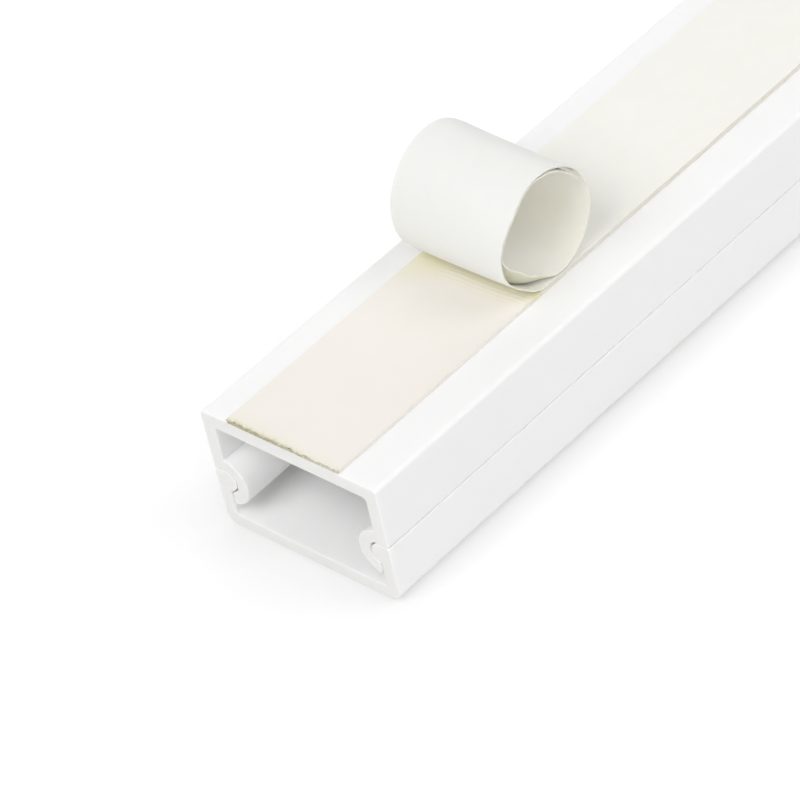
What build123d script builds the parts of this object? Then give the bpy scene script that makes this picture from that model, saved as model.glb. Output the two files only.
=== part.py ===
from build123d import *
from math import sqrt
import os

# Two-piece snap-on cord raceway, lying with its cover down and its adhesive back up.
# X runs across, Y along the length with the peeled end at -Y, Z up from the cover's face.

# Overall size of the closed raceway
LENGTH = 400.0
WIDTH = 20.0
HEIGHT = 12.5

# Base channel
BASE_WALL = 1.4
BASE_BACK = 1.4
BASE_EDGE_RADIUS = 0.4
BASE_CORNER_RADIUS = 0.4

# Cover
COVER_WALL = 1.3
COVER_FACE = 1.3
COVER_EDGE_RADIUS = 1.2
COVER_CORNER_RADIUS = 0.4

# Snap joint: a bead inside each lip of the cover sits in a C-shaped hook below each leg of the base
SEAM_HEIGHT = 6.2
SNAP_CLEARANCE = 0.15
BEAD_RADIUS = 1.05
BEAD_SETBACK = 0.15
HOOK_THICKNESS = 1.25
HOOK_TIP_RADIUS = 0.35
SEAM_EDGE_RADIUS = 0.2

# Adhesive tape on the base's back
TAPE_WIDTH = 12.7
TAPE_THICKNESS = 0.35
TAPE_OFFSET = -0.48

# Paper release liner, flat on the tape and curled up at the near end
LINER_THICKNESS = 0.15
PEELED_LENGTH = 28.2
CURL_RADIUS = 5.7
CURL_GAP = 0.45
CURL_TURNS = 1.6


def height_on_circle(radius, offset):
    """Height above a circle's centre of its point at a sideways offset."""
    return sqrt(radius**2 - offset**2)


def along_length(half_section):
    """Mirror a half section about the middle plane and extrude it over the whole length."""
    section = half_section + mirror(half_section, about=Plane.YZ)
    return extrude(section, amount=LENGTH / 2, both=True)


def section_corner(section, x, z):
    """The vertices of a section at one place of the XZ plane."""
    return section.vertices().filter_by(lambda v: abs(v.X - x) < 1e-4 and abs(v.Z - z) < 1e-4)


# Levels and half widths that the two extrusions share
outer_x = WIDTH / 2
lip_x = outer_x - COVER_WALL
lip_top = SEAM_HEIGHT - SNAP_CLEARANCE
bead_x = lip_x + BEAD_SETBACK
bead_z = lip_top - BEAD_RADIUS
hook_inner_radius = BEAD_RADIUS + SNAP_CLEARANCE
hook_outer_radius = hook_inner_radius + HOOK_THICKNESS


def base_channel():
    """Back plate with two legs, each ending in a hook that is concentric with the cover's bead."""
    leg_x = outer_x - BASE_WALL
    back_z = HEIGHT - BASE_BACK
    tip_x = lip_x - SNAP_CLEARANCE
    tip_inner_z = bead_z - height_on_circle(hook_inner_radius, bead_x - tip_x)
    tip_outer_z = bead_z - height_on_circle(hook_outer_radius, bead_x - tip_x)
    root_z = bead_z + height_on_circle(hook_outer_radius, bead_x - leg_x)

    back_and_leg = Plane.XZ * Polyline(
        (leg_x, root_z), (leg_x, back_z), (0, back_z), (0, HEIGHT),
        (outer_x, HEIGHT), (outer_x, SEAM_HEIGHT), (bead_x, SEAM_HEIGHT),
    )
    hook_inside = Plane.XZ * ThreePointArc(
        (bead_x, SEAM_HEIGHT), (bead_x - hook_inner_radius, bead_z), (tip_x, tip_inner_z)
    )
    hook_tip = Plane.XZ * Line((tip_x, tip_inner_z), (tip_x, tip_outer_z))
    hook_outside = Plane.XZ * ThreePointArc(
        (tip_x, tip_outer_z), (bead_x - hook_outer_radius, bead_z), (leg_x, root_z)
    )
    half = make_face(back_and_leg + hook_inside + hook_tip + hook_outside)
    tip_corners = section_corner(half, tip_x, tip_inner_z) + section_corner(half, tip_x, tip_outer_z)
    half = fillet(tip_corners, HOOK_TIP_RADIUS)
    half = fillet(section_corner(half, leg_x, back_z), BASE_CORNER_RADIUS)
    half = fillet(section_corner(half, outer_x, HEIGHT), BASE_EDGE_RADIUS)
    half = fillet(section_corner(half, outer_x, SEAM_HEIGHT), SEAM_EDGE_RADIUS)
    return along_length(half)


def cover():
    """Face plate with two lips, each with a round bead along the inside of its top edge."""
    bead_root_z = bead_z - height_on_circle(BEAD_RADIUS, BEAD_SETBACK)
    face_and_lip = Plane.XZ * Polyline(
        (bead_x, lip_top), (outer_x, lip_top), (outer_x, 0), (0, 0),
        (0, COVER_FACE), (lip_x, COVER_FACE), (lip_x, bead_root_z),
    )
    bead = Plane.XZ * ThreePointArc(
        (lip_x, bead_root_z), (bead_x - BEAD_RADIUS, bead_z), (bead_x, lip_top)
    )
    half = make_face(face_and_lip + bead)
    half = fillet(section_corner(half, outer_x, lip_top), SEAM_EDGE_RADIUS)
    half = fillet(section_corner(half, outer_x, 0), COVER_EDGE_RADIUS)
    half = fillet(section_corner(half, lip_x, COVER_FACE), COVER_CORNER_RADIUS)
    return along_length(half)


tape_top = HEIGHT + TAPE_THICKNESS


def adhesive_tape():
    """Thin strip on the base's back, flush with both ends."""
    strip = Box(TAPE_WIDTH, LENGTH, TAPE_THICKNESS, align=(Align.CENTER, Align.CENTER, Align.MIN))
    return Pos(TAPE_OFFSET, 0, HEIGHT) * strip


def release_liner():
    """Paper strip: flat from the far end to the peel line, then a curl of quarter arcs that close in."""
    flat_z = tape_top + LINER_THICKNESS / 2
    peel = Vector(PEELED_LENGTH - LENGTH / 2, flat_z)
    far = Vector(LENGTH / 2, flat_z)
    shrink = (CURL_GAP + LINER_THICKNESS) / 4
    quarters = int(CURL_TURNS * 4)
    sweeps = [90.0] * quarters
    last_sweep = 360 * CURL_TURNS - sum(sweeps)
    if last_sweep > 1:
        sweeps.append(last_sweep)

    # Each side of the sheet is the curl's middle line moved by half the thickness
    def curl_side(outward):
        edges = []
        start = peel - Vector(0, outward)
        heading = Vector(-1, 0)
        radius = CURL_RADIUS + outward
        for sweep in sweeps:
            arc = JernArc(start, heading, radius, -sweep)
            edges.append(arc)
            start = arc @ 1
            heading = arc % 1
            radius -= shrink
        return edges

    outside = curl_side(LINER_THICKNESS / 2)
    inside = curl_side(-LINER_THICKNESS / 2)
    half_sheet = Vector(0, LINER_THICKNESS / 2)
    free_end = Line(outside[-1] @ 1, inside[-1] @ 1)
    flat_part = Polyline(outside[0] @ 0, far - half_sheet, far + half_sheet, inside[0] @ 0)
    section = make_face(Curve() + outside + inside + free_end + flat_part)
    plane = Plane.YZ.offset(TAPE_OFFSET)
    return extrude(plane * section, amount=TAPE_WIDTH / 2, both=True)


os.makedirs("parts", exist_ok=True)
export_step(base_channel(), "parts/base_channel.step")
export_step(cover(), "parts/cover.step")
export_step(adhesive_tape(), "parts/adhesive_tape.step")
export_step(release_liner(), "parts/release_liner.step")
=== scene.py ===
"""Looks of a snap-on cord raceway: base channel, cover, adhesive strip and a half-peeled paper liner.

Lengths are in millimetres until a mesh is made. X runs across, Y along from the peeled end, Z up.
"""

import bpy
import numpy as np
from mathutils import Matrix, Vector


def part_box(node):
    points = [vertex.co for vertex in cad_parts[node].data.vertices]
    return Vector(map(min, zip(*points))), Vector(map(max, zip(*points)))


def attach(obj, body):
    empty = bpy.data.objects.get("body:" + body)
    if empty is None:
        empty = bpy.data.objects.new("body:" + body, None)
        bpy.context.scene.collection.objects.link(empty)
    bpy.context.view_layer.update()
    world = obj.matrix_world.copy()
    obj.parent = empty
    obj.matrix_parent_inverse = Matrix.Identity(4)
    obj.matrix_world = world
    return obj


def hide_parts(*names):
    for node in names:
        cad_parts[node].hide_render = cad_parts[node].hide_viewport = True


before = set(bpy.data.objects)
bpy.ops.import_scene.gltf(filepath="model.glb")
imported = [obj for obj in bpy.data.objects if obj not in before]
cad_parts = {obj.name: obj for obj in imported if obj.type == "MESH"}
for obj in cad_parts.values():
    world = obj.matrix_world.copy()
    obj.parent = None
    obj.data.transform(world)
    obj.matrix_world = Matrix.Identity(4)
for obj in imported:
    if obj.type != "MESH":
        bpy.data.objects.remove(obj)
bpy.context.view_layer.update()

MM = 0.001
FULL_TURN = 360.0

# Section of the two extrusions, as they are drawn in the CAD model, with a tighter seam line
BASE_WALL = 1.4
BASE_BACK = 1.4
BASE_EDGE_RADIUS = 0.4
BASE_CORNER_RADIUS = 0.4
COVER_WALL = 1.3
COVER_FACE = 1.3
COVER_EDGE_RADIUS = 1.2
COVER_CORNER_RADIUS = 0.4
SNAP_CLEARANCE = 0.15
BEAD_RADIUS = 1.05
BEAD_SETBACK = 0.15
HOOK_THICKNESS = 1.25
HOOK_TIP_RADIUS = 0.35
SEAM_EDGE_RADIUS = 0.2
SEAM_GAP = 0.07

# Fineness of the extrusions, and the rounding and raggedness that the saw leaves on their ends
ARC_STEP = np.radians(7.0)
ARC_LEAST_POINTS = 3
BODY_STATIONS = 41
SAW_ROUND = 0.12
SAW_ROUND_STEPS = 6
SAW_RAGGED = 0.03
SHARP_ANGLE = np.radians(26.0)

# Waves of the uneven edges: amplitude, radians per millimetre and phase of each
SAW_WAVES = ((0.22, 5.3, 0.4), (0.16, 11.9, 2.1), (0.12, 23.7, 0.9))
LINER_EDGE_WAVES = ((0.012, 1.3, 0.2), (0.008, 3.7, 1.1), (0.006, 9.1, 0.5))
FRAY_WAVES = ((0.5, 3.1, 0.3), (0.4, 7.7, 1.9), (0.35, 15.3, 0.2), (0.3, 31.0, 2.2))
SPECKLE_WAVES = ((0.4, 4.3, 0.1), (0.35, 9.7, 1.3), (0.25, 21.0, 0.4))

# Adhesive strip: its rounded sides, where its points lie closer along the length, and its frayed cut
TAPE_SIDE_BULGE = 0.05
TAPE_SIDE_POINTS = 4
TAPE_TOP_POINTS = 72
TAPE_STOPS = (0.0, 0.8, 20.0, 28.0)
TAPE_STOP_POINTS = (17, 60, 81, 40)
TAPE_FRAY = 0.09
FRAY_REACH = 0.35
FRAY_SKEW = 3.0

# Ridges dragged up on the tape beside the curl: they lean, wander and fade out towards the left side
RIDGE_HEIGHT = 0.035
RIDGE_PLACE = 23.9
RIDGE_SPREAD = 0.75
RIDGE_LEAN = 0.055
RIDGE_FREQUENCY = 15.0
RIDGE_WANDER = 0.8
RIDGE_WANDER_FREQUENCY = 0.9
RIDGE_LEFT = 1.5
RIDGE_LEFT_FADE = 3.0

# Soil on the tape: along its cut and less on the right, and a spot at the right corner. On the sides where
# the liner covers the top, the same dark colour is painted shade under the liner's edge
END_SOIL_REACH = 0.10
END_SOIL_SPECKLE = 0.30
SPECKLE_SLANT = 0.7
END_SOIL_FADE = 0.8
END_SOIL_FADE_FROM = 0.45
END_SOIL_FADE_OVER = 0.35
CORNER_SOIL = 0.8
CORNER_SOIL_LENGTH = 0.25
CORNER_SOIL_WIDTH = 0.02
SIDE_PAINTED_SHADE = 0.22
COVERED_FROM = 25.5
COVERED_OVER = 1.5

# Olive on the tape: a stain along the cut, and near the curl partly a stain and partly painted shade and
# yellow bounce light of the curl. It grows from an onset up to the curl, starts earlier on the left and is
# lighter on the ridge tops. Each step of the onset has a length and the share of the width where it starts
OLIVE_ONSET = 19.6
OLIVE_ONSET_STEPS = ((3.0, 0.0), (0.6, 0.6))
OLIVE_ONSET_OVER = 0.4
OLIVE_FULL = 25.3
OLIVE_GROWTH = 1.3
OLIVE_RIDGE_LOSS = 0.45
CUT_OLIVE = 0.85
CUT_OLIVE_REACH = 0.5
CUT_OLIVE_FADE = 0.7

# Paper liner: its thickness and edges, the points of its flat part, and where its curl sits behind the
# near end
LINER_THICKNESS = 0.12
LINER_POINTS = 37
LINER_INSET_LEFT = 0.05
LINER_INSET_RIGHT = 0.01
LINER_FLAT_STOPS = (0.0, 0.1, 1.0)
LINER_FLAT_POINTS = (25, 31)
CURL_CENTRE_LEFT = (28.5, 18.2)
CURL_CENTRE_RIGHT = (27.9, 18.4)
CURL_RADIUS_LEFT = 5.95
CURL_RADIUS_RIGHT = 5.80
CURL_LAP = 0.35
CURL_LAP_FROM = 270.0
CURL_BOTTOM_GAP = 0.25
CURL_BOTTOM_GAP_FROM = 180.0
CURL_EASE = 90.0
CURL_BEND = 0.12
CURL_END = 606.0
CURL_STEP = 1.5
RIGHT_END_ONLY = 2.2

# Right margin of the inner layer, turned up along a slanting crease where it passes the bottom
LIP_HEIGHT = 1.2
LIP_START = 354.0
LIP_RISE = 28.0
LIP_END = 457.0
LIP_FALL = 40.0
CREASE_START = 0.2
CREASE_SLANT = 0.085
CREASE_DEPTH = 1.6
CREASE_SOFTNESS = 0.15
# Share of the lip at which its underside takes the full painted shade
LIP_SHADE_FULL = 0.35

# Flat places, dents and creases of the curl: angle and spread in degrees, depth at the right and left end
CURL_DENTS = (
    (42.0, 22.0, 0.36, 0.0),
    (138.0, 36.0, 1.00, 0.0),
    (205.0, 36.0, 0.34, 0.0),
    (228.0, 32.0, 0.0, 0.50),
    (400.0, 36.0, 0.06, 0.06),
    (457.0, 5.0, -0.12, 0.0),
    (470.0, 12.0, 0.08, 0.0),
    (500.0, 30.0, 0.82, 0.10),
    (548.0, 9.0, 0.14, 0.0),
    (580.0, 36.0, 0.42, 0.45),
)


def box_mm(node):
    """A CAD node's lowest and highest corner in millimetres."""
    low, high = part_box(node)
    return np.array(low) / MM, np.array(high) / MM


base_low, base_high = box_mm("base_channel")
cover_high = box_mm("cover")[1]
tape_low, tape_high = box_mm("adhesive_tape")

near_end = base_low[1]
far_end = base_high[1]
half_width = base_high[0]
back_top = base_high[2]
lip_top = cover_high[2]
seam_z = lip_top + SEAM_GAP
lip_x = half_width - COVER_WALL
bead_x = lip_x + BEAD_SETBACK
bead_z = lip_top - BEAD_RADIUS
hook_inside = BEAD_RADIUS + SNAP_CLEARANCE
hook_outside = hook_inside + HOOK_THICKNESS
tape_width = tape_high[0] - tape_low[0]
liner_z = tape_high[2] + LINER_THICKNESS / 2.0


def smoothstep(t):
    """3 t^2 - 2 t^3, held at 0 and 1 outside that range."""
    t = np.clip(t, 0.0, 1.0)
    return t * t * (3.0 - 2.0 * t)


def between(left, right, t):
    """Left at t = 0, right at t = 1 and a straight run between them."""
    return left + (right - left) * t


def bell(distance, spread):
    """exp(-(distance / spread)^2)."""
    return np.exp(-((distance / spread) ** 2))


def ripple(t, waves):
    """Sum of amplitude * sin(frequency * t + phase) over the waves."""
    amplitude, frequency, phase = np.array(waves, float).T
    return (amplitude * np.sin(np.multiply.outer(t, frequency) + phase)).sum(-1)


def graded(stops, counts):
    """Even points from each stop to the next, as many as the counts say, with no stop twice."""
    runs = [np.linspace(start, end, count)[1:] for start, end, count in zip(stops, stops[1:], counts)]
    return np.concatenate([stops[:1], *runs])


def arc(centre, start, end, turn):
    """Centre + radius (cos a, sin a), with a running evenly from start to end; turn 1 is anticlockwise."""
    centre = np.array(centre, float)
    spoke = np.array(start, float) - centre
    last = np.array(end, float) - centre
    first_angle = np.arctan2(spoke[1], spoke[0])
    last_angle = np.arctan2(last[1], last[0])
    sweep = turn * ((turn * (last_angle - first_angle)) % (2.0 * np.pi))
    angle = first_angle + np.linspace(0.0, sweep, int(abs(sweep) / ARC_STEP) + ARC_LEAST_POINTS)
    return centre + np.hypot(*spoke) * np.stack([np.cos(angle), np.sin(angle)], 1)


def corner(x, z, dx, dz, radius, turn):
    """Quarter circle that rounds a square corner; dx and dz point from the corner to the arc's centre."""
    centre = (x + dx * radius, z + dz * radius)
    ends = [(x + dx * radius, z), (x, z + dz * radius)]
    if turn * dx * dz > 0:
        ends.reverse()
    return arc(centre, ends[0], ends[1], turn)


def mirrored(half):
    """Closed section from its right half, which starts and ends on the middle line."""
    half = np.concatenate([np.atleast_2d(np.array(p, float)) for p in half])
    left = half[-2:0:-1] * (-1.0, 1.0)
    ring = np.concatenate([half, left])
    following = np.roll(ring, -1, axis=0)
    area = (ring[:, 0] * following[:, 1] - following[:, 0] * ring[:, 1]).sum()
    return ring if area > 0 else ring[::-1]


def base_section():
    """Back plate and legs with rounded corners, each leg ending in a hook round the bead's centre."""
    leg_x = half_width - BASE_WALL
    back_z = back_top - BASE_BACK
    tip_x = lip_x - SNAP_CLEARANCE
    root_z = bead_z + np.sqrt(hook_outside**2 - (bead_x - leg_x) ** 2)
    bead = np.array([bead_x, bead_z])
    side = bead_x - tip_x + HOOK_TIP_RADIUS
    round_in = np.array([-side, -np.sqrt((hook_inside + HOOK_TIP_RADIUS) ** 2 - side**2)])
    round_out = np.array([-side, -np.sqrt((hook_outside - HOOK_TIP_RADIUS) ** 2 - side**2)])
    leave_in = bead + round_in / np.hypot(*round_in) * hook_inside
    join_out = bead + round_out / np.hypot(*round_out) * hook_outside
    tip_in = bead + round_in + (HOOK_TIP_RADIUS, 0.0)
    tip_out = bead + round_out + (HOOK_TIP_RADIUS, 0.0)
    return mirrored([
        (0.0, back_top),
        corner(half_width, back_top, -1, -1, BASE_EDGE_RADIUS, -1),
        corner(half_width, seam_z, -1, 1, SEAM_EDGE_RADIUS, -1),
        arc(bead, (bead_x, lip_top + SNAP_CLEARANCE), leave_in, 1),
        arc(bead + round_in, leave_in, tip_in, -1)[1:],
        arc(bead + round_out, tip_out, join_out, -1),
        arc(bead, join_out, (leg_x, root_z), -1)[1:],
        corner(leg_x, back_z, -1, -1, BASE_CORNER_RADIUS, 1),
        (0.0, back_z),
    ])


def cover_section():
    """Face plate and lips with rounded corners, and a round bead inside the top of each lip."""
    bead_root = (lip_x, bead_z - np.sqrt(BEAD_RADIUS**2 - BEAD_SETBACK**2))
    return mirrored([
        (0.0, 0.0),
        corner(half_width, 0.0, -1, 1, COVER_EDGE_RADIUS, 1),
        corner(half_width, lip_top, -1, -1, SEAM_EDGE_RADIUS, 1),
        arc((bead_x, bead_z), (bead_x, lip_top), bead_root, 1),
        corner(lip_x, COVER_FACE, -1, 1, COVER_CORNER_RADIUS, -1),
        (0.0, COVER_FACE),
    ])


def ring_faces(stations, count):
    """Quads between neighbouring rings, closed round each ring, and the two end faces."""
    index = np.arange(stations * count).reshape(stations, count)
    following = np.roll(index, -1, axis=1)
    quads = np.stack([index[:-1], index[1:], following[1:], following[:-1]], -1).reshape(-1, 4)
    return quads.tolist() + [index[0].tolist(), index[-1, ::-1].tolist()]


def ring_mesh(name, rings, finishes, ring_finish=None):
    """A piece from rings[station, point, xyz], with flat end faces.

    ring_finish numbers the finish of each strip round the ring.
    """
    stations, count = rings.shape[:2]
    mesh = bpy.data.meshes.new(name)
    mesh.from_pydata((rings.reshape(-1, 3) * MM).tolist(), [], ring_faces(stations, count))
    for finish in finishes:
        mesh.materials.append(finish)
    smooth = np.ones(len(mesh.polygons), bool)
    smooth[-2:] = False
    mesh.polygons.foreach_set("use_smooth", smooth)
    if ring_finish is not None:
        number = np.zeros(len(mesh.polygons), np.int32)
        number[:-2] = np.tile(ring_finish, stations - 1)
        number[-2:] = ring_finish[-1]
        mesh.polygons.foreach_set("material_index", number)
    mesh.set_sharp_from_angle(angle=SHARP_ANGLE)
    mesh.update()
    piece = bpy.data.objects.new(name, mesh)
    bpy.context.scene.collection.objects.link(piece)
    return piece


def point_value(piece, name, values):
    """Keep one number per mesh point for a material to read."""
    layer = piece.data.attributes.new(name, "FLOAT", "POINT")
    layer.data.foreach_set("value", np.asarray(values, np.float32).ravel())


def extrusion(name, section, finish):
    """The section carried along Y, rounded and a little ragged at both cuts.

    Near a cut it is inset by r (1 - sin a) at r (1 - cos a) from the cut, and each point there
    moves inwards by the raggedness times 0.5 plus a ripple along the section's outline.
    """
    step = np.roll(section, -1, axis=0) - section
    step /= np.linalg.norm(step, axis=1, keepdims=True)
    inward = np.stack([-step[:, 1], step[:, 0]], 1)
    inward = inward + np.roll(inward, 1, axis=0)
    inward /= np.linalg.norm(inward, axis=1, keepdims=True)

    a = np.linspace(0.0, np.pi / 2.0, SAW_ROUND_STEPS)
    round_inset = SAW_ROUND * (1.0 - np.sin(a))
    round_depth = SAW_ROUND * (1.0 - np.cos(a))
    body = np.linspace(near_end + SAW_ROUND, far_end - SAW_ROUND, BODY_STATIONS)[1:-1]
    y = np.concatenate([near_end + round_depth, body, far_end - round_depth[::-1]])
    inset = np.concatenate([round_inset, np.zeros(body.size), round_inset[::-1]])

    walk = np.concatenate([[0.0], np.cumsum(np.hypot(*np.diff(section, axis=0).T))])
    ragged = 0.5 + ripple(walk, SAW_WAVES)
    at_cut = inset / SAW_ROUND
    into = np.where(y < 0.0, 1.0, -1.0)
    profile = section[None] + inset[:, None, None] * inward[None]
    rings = np.empty((y.size, len(section), 3))
    rings[..., 0] = profile[..., 0]
    rings[..., 1] = y[:, None] + SAW_RAGGED * (into * at_cut)[:, None] * ragged[None]
    rings[..., 2] = profile[..., 1]
    return ring_mesh(name, rings, [finish])


def lip_share(angle, t):
    """Share of the lip's height at an angle and place t across the curl.

    With u = 1 on the right edge and 0 at the crease, and softness s, it is
    (u + sqrt(u^2 + s^2)) / (1 + sqrt(1 + s^2)), which falls evenly and rounds the bend. The crease
    starts near the edge and slants inwards up to its full depth.
    """
    on_margin = smoothstep((angle - LIP_START) / LIP_RISE) * smoothstep((LIP_END - angle) / LIP_FALL)
    slant = CREASE_START + CREASE_SLANT * np.maximum(angle - FULL_TURN, 0.0)
    crease = CREASE_DEPTH * np.tanh(slant / CREASE_DEPTH)
    u = 1.0 - (1.0 - t) * tape_width / crease
    rise = (u + np.sqrt(u * u + CREASE_SOFTNESS**2)) / (1.0 + np.sqrt(1.0 + CREASE_SOFTNESS**2))
    return on_margin * rise


def curl_line(angle, t):
    """y and z of the curl at an angle from its bottom; t runs from 0 at the left end to 1 at the right.

    A circle round the curl's centre, less the lap once it has come round and less each dent's
    depth * exp(-((angle - place) / spread)^2), then held smoothly above what it lies on and
    lifted towards the centre by the lip.
    """
    centre_y = between(CURL_CENTRE_LEFT[0], CURL_CENTRE_RIGHT[0], t)
    centre_z = between(CURL_CENTRE_LEFT[1], CURL_CENTRE_RIGHT[1], t)
    radius = between(CURL_RADIUS_LEFT, CURL_RADIUS_RIGHT, t)
    radius = radius - CURL_LAP * smoothstep((angle - CURL_LAP_FROM) / CURL_EASE)
    near_right = t**RIGHT_END_ONLY
    for place, spread, right, left in CURL_DENTS:
        radius = radius - between(left, right, near_right) * bell(angle - place, spread)
    sine = np.sin(np.radians(angle))
    cosine = np.cos(np.radians(angle))
    y = near_end + centre_y - radius * sine
    z = centre_z - radius * cosine
    rest = liner_z + CURL_BOTTOM_GAP * smoothstep((angle - CURL_BOTTOM_GAP_FROM) / CURL_EASE)
    z = 0.5 * (z + rest + np.sqrt((z - rest) ** 2 + CURL_BEND**2))
    lift = LIP_HEIGHT * lip_share(angle, t)
    return y + lift * sine, z + lift * cosine


def paper_liner(release_side, paper_side, cut_edge):
    """The curl's line from its free end to the bottom, then straight to the far end.

    Its two sides are half a thickness each way along the line's normal (-dz, dy). Returns the
    piece and the line's length.
    """
    t = np.sin(np.linspace(0.0, np.pi / 2.0, LINER_POINTS))
    angle = np.arange(CURL_END, -CURL_STEP / 2.0, -CURL_STEP)
    curl_y, curl_z = curl_line(angle[:, None], t[None])
    along = graded(LINER_FLAT_STOPS, LINER_FLAT_POINTS)[1:]
    flat_y = between(curl_y[-1], far_end, along[:, None])
    y = np.concatenate([curl_y, flat_y])
    z = np.concatenate([curl_z, np.full_like(flat_y, liner_z)])

    run_y = np.gradient(y, axis=0)
    run_z = np.gradient(z, axis=0)
    length = np.hypot(run_y, run_z)
    up_y = -run_z / length * LINER_THICKNESS / 2.0
    up_z = run_y / length * LINER_THICKNESS / 2.0
    steps = np.hypot(np.diff(y, axis=0), np.diff(z, axis=0))
    walked = np.concatenate([np.zeros((1, LINER_POINTS)), np.cumsum(steps, axis=0)])

    side = ripple(walked.mean(1), LINER_EDGE_WAVES)
    width = tape_width - LINER_INSET_LEFT - LINER_INSET_RIGHT
    x = tape_low[0] + LINER_INSET_LEFT + width * t[None] + side[:, None]
    under = np.stack([x, y - up_y, z - up_z], -1)
    upper = np.stack([x, y + up_y, z + up_z], -1)[:, ::-1]
    rings = np.concatenate([under, upper], 1)
    strips = np.repeat([0, 1], LINER_POINTS)
    strips[LINER_POINTS - 1 :: LINER_POINTS] = 2
    piece = ring_mesh("paper_liner", rings, [release_side, paper_side, cut_edge], strips)

    # Painted olive shade on the underside of the turned-up lip
    lip_shade = np.zeros(rings.shape[:2])
    lip_shade[: angle.size, :LINER_POINTS] = smoothstep(lip_share(angle[:, None], t[None]) / LIP_SHADE_FULL)
    point_value(piece, "lip_shade", lip_shade)

    across = np.concatenate([t, t[::-1]])
    uv = np.empty(rings.shape[:2] + (2,))
    uv[..., 0] = across * tape_width
    uv[..., 1] = np.concatenate([walked, walked[:, ::-1]], 1)
    layer = piece.data.uv_layers.new(name="sheet")
    corners = np.empty(len(piece.data.loops), np.int32)
    piece.data.loops.foreach_get("vertex_index", corners)
    layer.data.foreach_set("uv", uv.reshape(-1, 2)[corners].astype(np.float32).ravel())
    return piece, walked[-1].mean()


def tape_ring():
    """x and z round the strip's section, and 1 on its top; the sides bulge by a half sine wave."""
    left, right = tape_low[0], tape_high[0]
    low, top = tape_low[2], tape_high[2]
    rise = np.linspace(0.0, 1.0, TAPE_SIDE_POINTS + 2)[1:-1]
    bulge = TAPE_SIDE_BULGE * np.sin(np.pi * rise)
    share = 0.5 - 0.5 * np.cos(np.pi * np.linspace(0.0, 1.0, TAPE_TOP_POINTS))
    right_side = right - TAPE_SIDE_BULGE + bulge
    left_side = left + TAPE_SIDE_BULGE - bulge
    ring_x = np.concatenate([[left, right], right_side, between(right, left, share), left_side])
    up = low + (top - low) * rise
    down = top - (top - low) * rise
    ring_z = np.concatenate([[low, low], up, np.full(TAPE_TOP_POINTS, top), down])
    on_top = np.zeros(ring_x.size)
    on_top[2 + rise.size : 2 + rise.size + TAPE_TOP_POINTS] = 1.0
    return ring_x, ring_z, on_top


def drag_marks(from_left, x, d):
    """Ridges from 0 to 1: a sine wave of the distance d from the cut, leaning and wandering, in a bell."""
    place = d - RIDGE_LEAN * from_left
    wander = RIDGE_WANDER * np.sin(x * RIDGE_WANDER_FREQUENCY)
    ridges = 0.5 + 0.5 * np.sin(place * RIDGE_FREQUENCY + wander)
    window = bell(place - RIDGE_PLACE, RIDGE_SPREAD)
    return ridges * window * smoothstep((from_left - RIDGE_LEFT) / RIDGE_LEFT_FADE)


def tape_soil_and_shade(x, d, across, on_top, covered):
    """The most of soil along the cut, soil at the right corner and painted shade on the covered sides, from
    0 to 1.

    The bell reaches as far as a speckle lets it, and fades to the right.
    """
    speckle = 0.5 + 0.5 * ripple(x + SPECKLE_SLANT * d, SPECKLE_WAVES)
    fade = END_SOIL_FADE * smoothstep((across - END_SOIL_FADE_FROM) / END_SOIL_FADE_OVER)
    at_end = bell(d, END_SOIL_REACH + END_SOIL_SPECKLE * speckle) * (1.0 - fade)
    at_corner = CORNER_SOIL * bell(d, CORNER_SOIL_LENGTH) * bell(1.0 - across, CORNER_SOIL_WIDTH)
    # Painted shade on the sides, under the liner's edge where it covers the top
    painted_side_shade = SIDE_PAINTED_SHADE * (1.0 - on_top)[None] * covered
    return np.clip(np.maximum(np.maximum(at_end, at_corner), painted_side_shade), 0.0, 1.0)


def tape_olive_stain_and_shade(d, across, drag, covered):
    """Olive from 0 to 1: stain and painted shade, a power of the way from the onset to the curl, and a
    stain decaying from the cut.
    """
    steps = [step * smoothstep((across - place) / OLIVE_ONSET_OVER) for step, place in OLIVE_ONSET_STEPS]
    onset = OLIVE_ONSET + sum(steps)
    curl_shade_and_stain = np.clip((d - onset) / (OLIVE_FULL - onset), 0.0, 1.0) ** OLIVE_GROWTH * (1.0 - covered)
    at_cut = CUT_OLIVE * np.exp(-d / CUT_OLIVE_REACH) * (1.0 - CUT_OLIVE_FADE * across)
    return np.clip(np.maximum(curl_shade_and_stain * (1.0 - OLIVE_RIDGE_LOSS * drag), at_cut), 0.0, 1.0)


def adhesive_strip(finish):
    """The tape's ring carried along Y, its cut frayed inwards and its top lifted by the drag marks."""
    ring_x, ring_z, on_top = tape_ring()
    from_end = graded(TAPE_STOPS + (far_end - near_end,), TAPE_STOP_POINTS)
    x = np.tile(ring_x, (from_end.size, 1))
    d = np.tile(from_end[:, None], (1, ring_x.size))
    z = np.tile(ring_z, (from_end.size, 1))
    from_left = x - tape_low[0]
    across = from_left / tape_width

    fray = ripple(ring_x + FRAY_SKEW * ring_z, FRAY_WAVES)
    shift = TAPE_FRAY * np.maximum(1.0 + fray, 0.0)[None] * np.exp(-d / FRAY_REACH)
    drag = drag_marks(from_left, x, d)
    rings = np.stack([x, near_end + d + shift, z + on_top * RIDGE_HEIGHT * drag], -1)
    piece = ring_mesh("adhesive_strip", rings, [finish])

    covered = smoothstep((d - COVERED_FROM) / COVERED_OVER)
    point_value(piece, "soil_and_shade", tape_soil_and_shade(x, d, across, on_top, covered))
    # The olive near the curl is painted shade of the curl as well as stain
    point_value(piece, "olive_stain_and_shade", tape_olive_stain_and_shade(d, across, drag, covered))
    return piece


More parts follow.
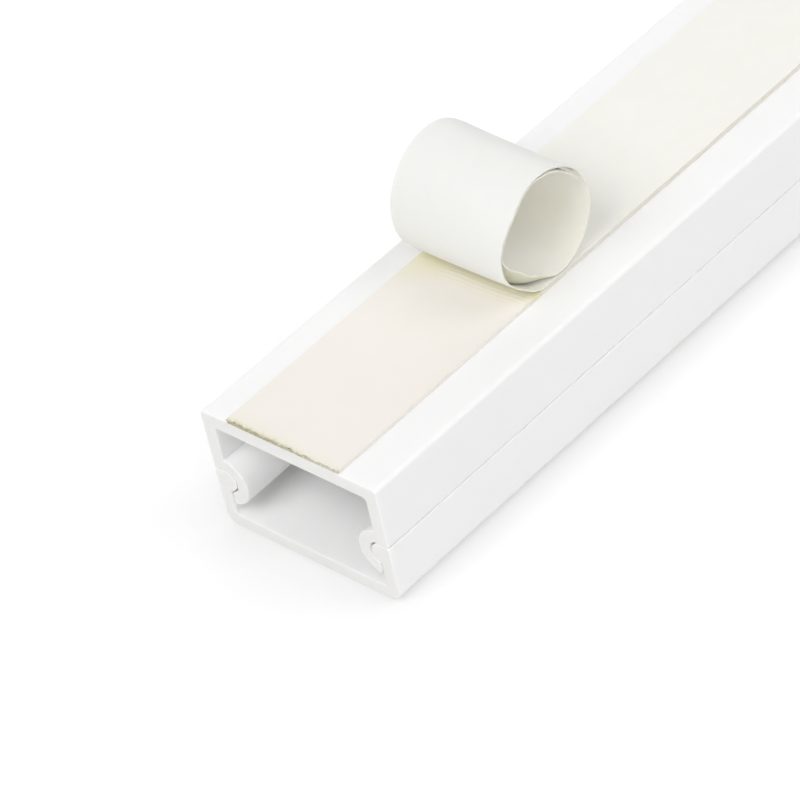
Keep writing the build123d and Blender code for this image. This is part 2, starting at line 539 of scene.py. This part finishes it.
class Finish:
    """A procedural material with one principled shader, and short calls for the nodes that feed it."""

    def __init__(self, name, roughness, specular):
        self.material = bpy.data.materials.new(name)
        self.material.use_nodes = True
        self.tree = self.material.node_tree
        self.shader = self.tree.nodes["Principled BSDF"]
        self.shader.inputs["Roughness"].default_value = roughness
        self.shader.inputs["Specular IOR Level"].default_value = specular
        self.place = self.add("TexCoord")

    def add(self, kind, **inputs):
        """A node of a kind with its inputs set or linked by name."""
        node = self.tree.nodes.new("ShaderNode" + kind)
        for name, value in inputs.items():
            self.feed(node.inputs[name.replace("_", " ")], value)
        return node

    def feed(self, socket, value):
        """Link an output to a socket, or set the socket's value."""
        if isinstance(value, bpy.types.NodeSocket):
            self.tree.links.new(value, socket)
        else:
            socket.default_value = value

    def noise(self, scale, detail=2.0, vector=None):
        """Noise from 0 to 1 whose grain has the given number of features per unit along X, Y and Z.

        The unit is the metre of Object coordinates, or the millimetre of a sheet's UV map.
        """
        spread = self.add("Mapping", Vector=vector or self.place.outputs["Object"], Scale=scale)
        grain = self.add("TexNoise", Vector=spread.outputs["Vector"], Scale=1.0, Detail=detail)
        return grain.outputs["Fac"]

    def ramp(self, value, low, high, to_low=0.0, to_high=1.0):
        """The value's range from low to high taken to another range."""
        node = self.add("MapRange", Value=value, From_Min=low, From_Max=high, To_Min=to_low, To_Max=to_high)
        return node.outputs["Result"]

    def math(self, operation, first, second=0.0):
        """One step of arithmetic."""
        node = self.tree.nodes.new("ShaderNodeMath")
        node.operation = operation
        self.feed(node.inputs[0], first)
        self.feed(node.inputs[1], second)
        return node.outputs["Value"]

    def blend(self, share, first, second):
        """First colour where share is 0, second where it is 1."""
        node = self.tree.nodes.new("ShaderNodeMix")
        node.data_type = "RGBA"
        self.feed(node.inputs[0], share)
        self.feed(node.inputs[6], first)
        self.feed(node.inputs[7], second)
        return node.outputs[2]

    def value_of(self, name):
        """A number kept on the mesh points."""
        node = self.tree.nodes.new("ShaderNodeAttribute")
        node.attribute_name = name
        return node.outputs["Fac"]

    def relief(self, height, depth_mm, below=None):
        """Bump of a height from 0 to 1, on top of another bump."""
        node = self.add("Bump", Height=height, Strength=1.0, Distance=depth_mm * MM)
        if below is not None:
            self.feed(node.inputs["Normal"], below)
        return node.outputs["Normal"]

    def let_light_in(self, share, reach, depth_mm):
        """Scatter part of the light below the surface, with a relative reach for red, green and blue."""
        self.shader.inputs["Subsurface Weight"].default_value = share
        self.shader.inputs["Subsurface Radius"].default_value = reach
        self.shader.inputs["Subsurface Scale"].default_value = depth_mm * MM

    def use(self, colour, roughness=None, normal=None):
        """Feed the shader and hand the material over."""
        self.feed(self.shader.inputs["Base Color"], colour)
        if roughness is not None:
            self.feed(self.shader.inputs["Roughness"], roughness)
        if normal is not None:
            self.feed(self.shader.inputs["Normal"], normal)
        return self.material


def rgb(red, green, blue):
    """A linear colour with full alpha."""
    return (red, green, blue, 1.0)


# Colours, where a pair is the two tones of a soft mottling, and what is added to a finish's roughness
PVC_WHITE = (rgb(0.95, 0.95, 0.944), rgb(0.936, 0.937, 0.932))
# End faces: darker partly as a duller sawn surface and partly as painted shade
PVC_SAWN_AND_SHADED = rgb(0.835, 0.83, 0.815)
SAWN_ROUGHER = 0.18
CREAM = (rgb(0.876, 0.834, 0.775), rgb(0.884, 0.846, 0.790))
# Olive: a stain on the tape, and near the curl also painted shade
OLIVE_STAIN_AND_SHADE = rgb(0.745, 0.725, 0.42)
OLIVE_STRENGTH = 0.7
# Dark soil on the cut, also used as painted shade on the tape's covered sides
SOIL_AND_SHADE = rgb(0.30, 0.28, 0.08)
RELEASE_COATING = (rgb(0.872, 0.876, 0.842), rgb(0.860, 0.864, 0.832))
LINER_PAPER = (rgb(0.932, 0.917, 0.856), rgb(0.916, 0.900, 0.836))
# Cut edges: darker partly by their own tone and partly by painted shade that keeps the lit rims dull
LINER_EDGE_AND_SHADE = (rgb(0.80, 0.78, 0.70), rgb(0.77, 0.75, 0.67))
# Painted olive shade for the pocket under the lip
PAPER_IN_PAINTED_SHADE = rgb(0.80, 0.785, 0.655)
FIBRE_ROUGHER = 0.06


def white_pvc(name):
    """Satin white PVC, faint die lines along the length; sawn end faces, rougher and darker, partly by
    painted shade.
    """
    pvc = Finish(name, roughness=0.5, specular=0.2)
    cloud = pvc.ramp(pvc.noise((90.0, 25.0, 90.0)), 0.3, 0.7)
    colour = pvc.blend(cloud, *PVC_WHITE)
    facing = pvc.add("SeparateXYZ", Vector=pvc.place.outputs["Normal"])
    sawn_and_shaded = pvc.ramp(pvc.math("ABSOLUTE", facing.outputs["Y"]), 0.55, 0.95)
    # Darker end faces: partly the sawn surface, partly painted shade
    colour = pvc.blend(sawn_and_shaded, colour, PVC_SAWN_AND_SHADED)
    die_lines = pvc.noise((2600.0, 9.0, 2600.0))
    grain = pvc.noise((5200.0, 2600.0, 5200.0))
    saw_marks = pvc.noise((700.0, 1.0, 5200.0), detail=3.0)
    normal = pvc.relief(die_lines, depth_mm=0.0035)
    normal = pvc.relief(grain, depth_mm=0.0025, below=normal)
    normal = pvc.relief(pvc.math("MULTIPLY", saw_marks, sawn_and_shaded), depth_mm=0.02, below=normal)
    satin = pvc.ramp(die_lines, 0.3, 0.7, to_low=0.46, to_high=0.56)
    rough = pvc.math("ADD", satin, pvc.math("MULTIPLY", sawn_and_shaded, SAWN_ROUGHER))
    pvc.let_light_in(share=0.7, reach=(1.0, 1.0, 0.95), depth_mm=0.35)
    return pvc.use(colour, rough, normal)


def cream_adhesive():
    """Tacky cream adhesive: soft mottling, olive stain and painted shade, gritty soil and painted shade
    darker lower down.
    """
    glue = Finish("cream_adhesive", roughness=0.5, specular=0.4)
    mottle = glue.ramp(glue.noise((420.0, 300.0, 420.0), detail=3.0), 0.35, 0.65)
    colour = glue.blend(mottle, *CREAM)
    # Olive stain, with painted shade of the curl near it
    colour = glue.blend(glue.math("MULTIPLY", glue.value_of("olive_stain_and_shade"), OLIVE_STRENGTH), colour, OLIVE_STAIN_AND_SHADE)
    grit = glue.ramp(glue.noise((5200.0, 5200.0, 5200.0), detail=3.0), 0.3, 0.62)
    cover = glue.ramp(grit, 0.0, 1.0, to_low=0.3, to_high=1.0)
    # Soil on the cut, and painted shade on the covered sides
    soil_and_shade = glue.math("MULTIPLY", glue.value_of("soil_and_shade"), cover)
    height = glue.add("SeparateXYZ", Vector=glue.place.outputs["Object"])
    z = height.outputs["Z"]
    low = glue.ramp(z, tape_high[2] * MM, tape_low[2] * MM, to_low=0.5, to_high=0.75)
    colour = glue.blend(glue.math("MULTIPLY", soil_and_shade, low), colour, SOIL_AND_SHADE)
    fine = glue.noise((3600.0, 3000.0, 3600.0), detail=3.0)
    normal = glue.relief(fine, depth_mm=0.006)
    rough = glue.ramp(fine, 0.3, 0.7, to_low=0.42, to_high=0.6)
    return glue.use(colour, rough, normal)


def liner_finish(name, tones, roughness, fibre_depth):
    """Paper: two tones in soft clouds, painted olive shade under the turned-up lip, and fibres along the
    sheet's own length.
    """
    paper = Finish(name, roughness, specular=0.25)
    sheet = paper.place.outputs["UV"]
    cloud = paper.ramp(paper.noise((0.35, 0.22, 1.0), detail=3.0, vector=sheet), 0.35, 0.65)
    colour = paper.blend(cloud, *tones)
    # Painted shade under the lip
    colour = paper.blend(paper.value_of("lip_shade"), colour, PAPER_IN_PAINTED_SHADE)
    fibre = paper.noise((7.0, 2.6, 1.0), detail=4.0, vector=sheet)
    normal = paper.relief(fibre, fibre_depth)
    rough = paper.ramp(fibre, 0.3, 0.7, roughness - FIBRE_ROUGHER, roughness + FIBRE_ROUGHER)
    paper.let_light_in(share=0.7, reach=(1.0, 1.0, 0.85), depth_mm=0.12)
    return paper.use(colour, rough, normal)


base_pvc = white_pvc("white_pvc_base")
cover_pvc = white_pvc("white_pvc_cover")
adhesive = cream_adhesive()
release_side = liner_finish("release_coating", RELEASE_COATING, roughness=0.5, fibre_depth=0.004)
# Cut edges, partly their own tone and partly painted shade
cut_edge = liner_finish("liner_cut_edge", LINER_EDGE_AND_SHADE, roughness=0.8, fibre_depth=0.004)
paper_side = liner_finish("liner_paper", LINER_PAPER, roughness=0.75, fibre_depth=0.010)

base_piece = extrusion("base_extrusion", base_section(), base_pvc)
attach(base_piece, "base")
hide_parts("base_channel")

cover_piece = extrusion("cover_extrusion", cover_section(), cover_pvc)
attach(cover_piece, "cover")
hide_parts("cover")

tape_piece = adhesive_strip(adhesive)
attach(tape_piece, "base")
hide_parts("adhesive_tape")

liner_piece, liner_length = paper_liner(release_side, paper_side, cut_edge)
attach(liner_piece, "base")
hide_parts("release_liner")

# Floor, in metres: diffuse for the light it sends back, and lifted to white where it is looked at. There
# it is shaded close to the raceway, and far out it fades to plain white
FLOOR_SIDE = 16.0
FLOOR_DROP = 0.00002
FLOOR_COLOUR = rgb(0.92, 0.92, 0.92)
FLOOR_SEEN_COLOUR = rgb(0.62, 0.62, 0.62)
FLOOR_SEEN_LIFT = 0.415
FLOOR_CONTACT_COLOUR = rgb(0.455, 0.455, 0.455)
FLOOR_CONTACT_REACH = 0.0065
FLOOR_CONTACT_FULL = 0.5
FLOOR_FADE_START = 0.9
FLOOR_FADE_END = 2.0


def seen_directly(tree):
    """1 for what the camera sees itself, in a mirror or through glass, 0 for light on its way round."""
    path = tree.nodes.new("ShaderNodeLightPath")
    either = tree.nodes.new("ShaderNodeMath")
    either.operation = "MAXIMUM"
    tree.links.new(path.outputs["Is Camera Ray"], either.inputs[0])
    tree.links.new(path.outputs["Is Glossy Ray"], either.inputs[1])
    every = tree.nodes.new("ShaderNodeMath")
    every.operation = "MAXIMUM"
    tree.links.new(either.outputs[0], every.inputs[0])
    tree.links.new(path.outputs["Is Transmission Ray"], every.inputs[1])
    return every.outputs[0]


def contact_shade(tree):
    """The floor's colour where it is looked at, darker where the raceway stands close over it."""
    near = tree.nodes.new("ShaderNodeAmbientOcclusion")
    near.inputs["Distance"].default_value = FLOOR_CONTACT_REACH
    open_share = tree.nodes.new("ShaderNodeMapRange")
    open_share.inputs["From Min"].default_value = FLOOR_CONTACT_FULL
    shade = tree.nodes.new("ShaderNodeMix")
    shade.data_type = "RGBA"
    shade.inputs[6].default_value = FLOOR_CONTACT_COLOUR
    shade.inputs[7].default_value = FLOOR_SEEN_COLOUR
    tree.links.new(near.outputs["AO"], open_share.inputs["Value"])
    tree.links.new(open_share.outputs["Result"], shade.inputs[0])
    return shade.outputs[2]


def far_out(tree):
    """0 round the raceway, rising evenly to 1 far out on the floor."""
    place = tree.nodes.new("ShaderNodeTexCoord")
    distance = tree.nodes.new("ShaderNodeVectorMath")
    distance.operation = "LENGTH"
    share = tree.nodes.new("ShaderNodeMapRange")
    share.inputs["From Min"].default_value = FLOOR_FADE_START
    share.inputs["From Max"].default_value = FLOOR_FADE_END
    tree.links.new(place.outputs["Object"], distance.inputs[0])
    tree.links.new(distance.outputs["Value"], share.inputs["Value"])
    return share.outputs["Result"]


def floor_finish():
    """Plain diffuse for light on its way round; shaded, lifted and faded to white where it is looked at."""
    material = bpy.data.materials.new("floor_white")
    material.use_nodes = True
    tree = material.node_tree
    tree.nodes.clear()
    lit = tree.nodes.new("ShaderNodeBsdfDiffuse")
    lit.inputs["Color"].default_value = FLOOR_COLOUR
    seen = tree.nodes.new("ShaderNodeBsdfDiffuse")
    lift = tree.nodes.new("ShaderNodeEmission")
    lift.inputs["Strength"].default_value = FLOOR_SEEN_LIFT
    lifted = tree.nodes.new("ShaderNodeAddShader")
    far_white = tree.nodes.new("ShaderNodeEmission")
    fade = tree.nodes.new("ShaderNodeMixShader")
    choose = tree.nodes.new("ShaderNodeMixShader")
    out = tree.nodes.new("ShaderNodeOutputMaterial")
    tree.links.new(contact_shade(tree), seen.inputs["Color"])
    tree.links.new(seen.outputs[0], lifted.inputs[0])
    tree.links.new(lift.outputs[0], lifted.inputs[1])
    tree.links.new(far_out(tree), fade.inputs[0])
    tree.links.new(lifted.outputs[0], fade.inputs[1])
    tree.links.new(far_white.outputs[0], fade.inputs[2])
    tree.links.new(seen_directly(tree), choose.inputs[0])
    tree.links.new(lit.outputs[0], choose.inputs[1])
    tree.links.new(fade.outputs[0], choose.inputs[2])
    tree.links.new(choose.outputs[0], out.inputs["Surface"])
    return material


def studio_floor():
    """A square sheet just below the raceway."""
    half = FLOOR_SIDE / 2.0
    plan = ((-half, -half), (half, -half), (half, half), (-half, half))
    mesh = bpy.data.meshes.new("floor")
    mesh.from_pydata([(x, y, -FLOOR_DROP) for x, y in plan], [], [(0, 1, 2, 3)])
    mesh.materials.append(floor_finish())
    floor = bpy.data.objects.new("floor", mesh)
    bpy.context.scene.collection.objects.link(floor)
    return floor


studio_floor()

# Light: a pale room, a soft lamp on the camera's side, a stronger one in front, and one on each side
# behind. Each row gives the direction that a lamp shines from, its width in degrees and its strength
ROOM_LIGHT = 0.37
LAMPS = (
    ("camera_side_lamp", (0.70, -0.66, 0.86), 47.0, 0.62),
    ("front_lamp", (0.0, -0.84, 1.0), 38.0, 1.17),
    ("right_back_lamp", (0.60, 0.36, 0.71), 38.0, 0.66),
    ("left_back_lamp", (-0.60, 0.66, 0.25), 75.0, 0.64),
)


def studio_room():
    """An even world light that is plain white where it is looked at."""
    world = bpy.data.worlds.new("room")
    world.use_nodes = True
    tree = world.node_tree
    tree.nodes.clear()
    lit = tree.nodes.new("ShaderNodeBackground")
    lit.inputs["Strength"].default_value = ROOM_LIGHT
    seen = tree.nodes.new("ShaderNodeBackground")
    seen.inputs["Strength"].default_value = 1.0
    for shade in (lit, seen):
        shade.inputs["Color"].default_value = rgb(1.0, 1.0, 1.0)
    choose = tree.nodes.new("ShaderNodeMixShader")
    out = tree.nodes.new("ShaderNodeOutputWorld")
    tree.links.new(seen_directly(tree), choose.inputs[0])
    tree.links.new(lit.outputs[0], choose.inputs[1])
    tree.links.new(seen.outputs[0], choose.inputs[2])
    tree.links.new(choose.outputs[0], out.inputs["Surface"])
    bpy.context.scene.world = world


def soft_lamp(name, direction, width, strength):
    """A distant lamp with soft edges, so that the whole length is lit alike."""
    data = bpy.data.lights.new(name, "SUN")
    data.angle = np.radians(width)
    data.energy = strength
    lamp = bpy.data.objects.new(name, data)
    lamp.location = direction
    lamp.rotation_mode = "QUATERNION"
    lamp.rotation_quaternion = (-Vector(direction)).to_track_quat("-Z", "Y")
    bpy.context.scene.collection.objects.link(lamp)


studio_room()
for lamp_row in LAMPS:
    soft_lamp(*lamp_row)

# Camera at the photo's angle: azimuth 0 looks along +Y and 90 along -X. Its clip distances are in metres
CAMERA_AIM = Vector((4.1806, near_end + 9.7043, 12.5)) * MM
CAMERA_DISTANCE = 413.829 * MM
CAMERA_AZIMUTH = np.radians(50.343)
CAMERA_ELEVATION = np.radians(39.679)
CAMERA_ROLL = np.radians(-13.321)
CAMERA_LENS = 224.87
CAMERA_CLIP = (0.01, 100.0)


def photo_camera():
    """Camera on the sphere round its aim, rolled about its own line of sight."""
    flat = np.cos(CAMERA_ELEVATION)
    aside = np.sin(CAMERA_AZIMUTH) * flat
    ahead = np.cos(CAMERA_AZIMUTH) * flat
    back = Vector((aside, -ahead, np.sin(CAMERA_ELEVATION)))
    level = Vector((np.cos(CAMERA_AZIMUTH), np.sin(CAMERA_AZIMUTH), 0.0))
    right = level * np.cos(CAMERA_ROLL) + back.cross(level) * np.sin(CAMERA_ROLL)
    up = back.cross(right)
    data = bpy.data.cameras.new("photo_camera")
    data.lens = CAMERA_LENS
    data.clip_start, data.clip_end = CAMERA_CLIP
    camera = bpy.data.objects.new("photo_camera", data)
    turn = Matrix((right, up, back)).transposed()
    camera.matrix_world = Matrix.Translation(CAMERA_AIM + back * CAMERA_DISTANCE) @ turn.to_4x4()
    bpy.context.scene.collection.objects.link(camera)
    bpy.context.scene.camera = camera


photo_camera()
bpy.context.scene.view_settings.view_transform = "Standard"
